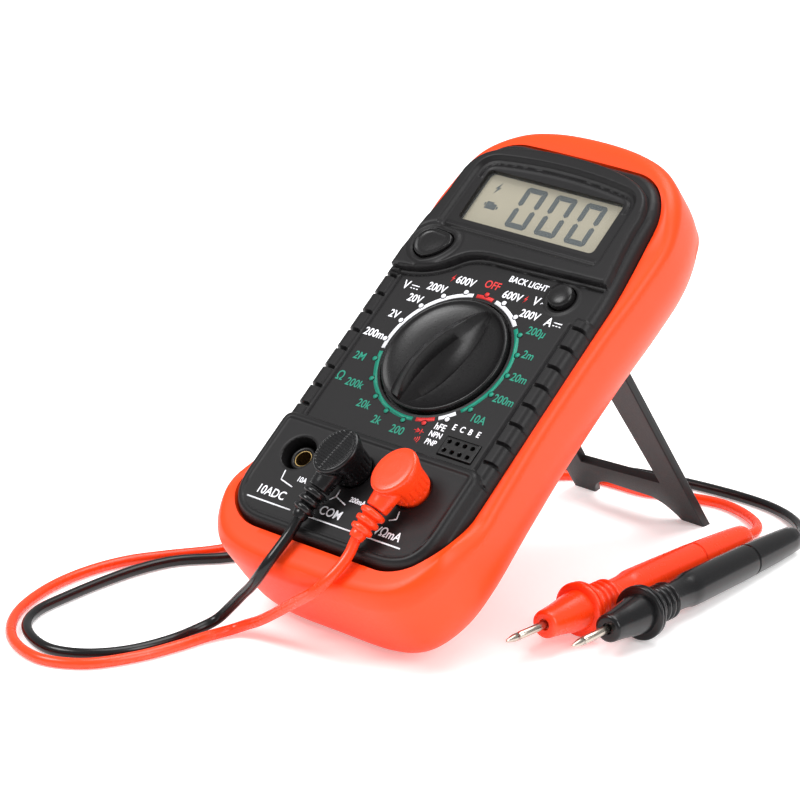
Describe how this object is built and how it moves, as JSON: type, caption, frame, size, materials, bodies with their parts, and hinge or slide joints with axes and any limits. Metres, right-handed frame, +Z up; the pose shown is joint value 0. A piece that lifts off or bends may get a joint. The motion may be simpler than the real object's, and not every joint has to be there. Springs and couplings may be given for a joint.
{
  "type": "digital multimeter",
  "caption": "Handheld digital multimeter in a soft holster, leaning on an open kickstand, with selector knob, push buttons, jacks and two test leads ending in probes.",
  "frame": {"origin": "on the table, under the middle of the meter's bounding box (leads not counted)", "axes": "+Z up, +Y from the foot of the meter towards its kickstand, +X to the right of a person facing the dial"},
  "size_m": [0.1391, 0.2105, 0.1103],
  "materials": {
    "holster_rubber": "satin",
    "shell_plastic": "satin, fine grain",
    "black_gloss": "semi-gloss",
    "red_gloss": "semi-gloss",
    "plated_steel": "nickel plated",
    "contact_brass": "plain",
    "clear_window": "clear",
    "display_glass": "liquid crystal cell",
    "board_green": "solder mask",
    "white_plastic": "satin",
    "grey_plastic": "satin",
    "battery_wrap": "printed wrap"
  },
  "bodies": {
    "case": {"holster": "holster_rubber", "front_shell": "shell_plastic", "rear_shell": "shell_plastic", "case_screw_1": "plated_steel", "case_screw_2": "plated_steel", "case_screw_3": "plated_steel", "case_screw_4": "plated_steel", "display_lens": "clear_window", "display_glass": "display_glass", "zebra_strip": "grey_plastic", "backlight_panel": "white_plastic", "circuit_board": "board_green", "hfe_socket": "black_gloss", "backlight_switch": "grey_plastic", "hold_switch": "grey_plastic", "chip_cover": "black_gloss", "buzzer": "contact_brass", "trimmer": "white_plastic", "jack_socket_10a": "contact_brass", "jack_socket_com": "contact_brass", "jack_socket_vohm": "contact_brass", "shunt_wire": "plated_steel", "fuse_glass": "clear_window", "fuse_cap_1": "plated_steel", "fuse_cap_2": "plated_steel", "fuse_clip_1": "contact_brass", "fuse_clip_2": "contact_brass", "battery": "battery_wrap", "battery_snap": "black_gloss", "black_cord": "black_gloss", "black_probe_handle": "black_gloss", "black_probe_needle": "plated_steel", "red_cord": "red_gloss", "red_probe_handle": "red_gloss", "red_probe_needle": "plated_steel"},
    "selector": {"selector_knob": "shell_plastic", "selector_rotor": "white_plastic", "detent_ball_1": "plated_steel", "detent_ball_2": "plated_steel", "detent_spring_1": "plated_steel", "detent_spring_2": "plated_steel", "wiper_1": "contact_brass", "wiper_2": "contact_brass", "wiper_3": "contact_brass"},
    "hold_button": {"hold_button": "shell_plastic"},
    "backlight_button": {"backlight_button": "shell_plastic"},
    "kickstand": {"kickstand": "shell_plastic"},
    "black_plug": {"black_plug_pin": "plated_steel", "black_plug_boot": "black_gloss", "black_strain_relief": "black_gloss"},
    "red_plug": {"red_plug_pin": "plated_steel", "red_plug_boot": "red_gloss", "red_strain_relief": "red_gloss"}
  },
  "joints": [
    {"name": "selector_turn", "type": "hinge", "parent": "case", "child": "selector", "pos_m": [0, -0.016, 0.0655], "axis": [0, -0.6225, 0.7826], "continuous": true},
    {"name": "hold_press", "type": "slide", "parent": "case", "child": "hold_button", "axis": [0, 0.6225, -0.7826], "range_m": [0, 0.001], "stiffness_N_per_m": 300, "springref_m": -0.001},
    {"name": "backlight_press", "type": "slide", "parent": "case", "child": "backlight_button", "axis": [0, 0.6225, -0.7826], "range_m": [0, 0.0012], "stiffness_N_per_m": 300, "springref_m": -0.001},
    {"name": "kickstand_fold", "type": "hinge", "parent": "case", "child": "kickstand", "pos_m": [0, 0.02749, 0.05869], "axis": [1, 0, 0], "range_deg": [-87.2, 0]},
    {"name": "black_plug_pull", "type": "slide", "parent": "case", "child": "black_plug", "axis": [0, -0.6225, 0.7826], "range_m": [0, 0.018]},
    {"name": "red_plug_pull", "type": "slide", "parent": "case", "child": "red_plug", "axis": [0, -0.6225, 0.7826], "range_m": [0, 0.018]}
  ]
}
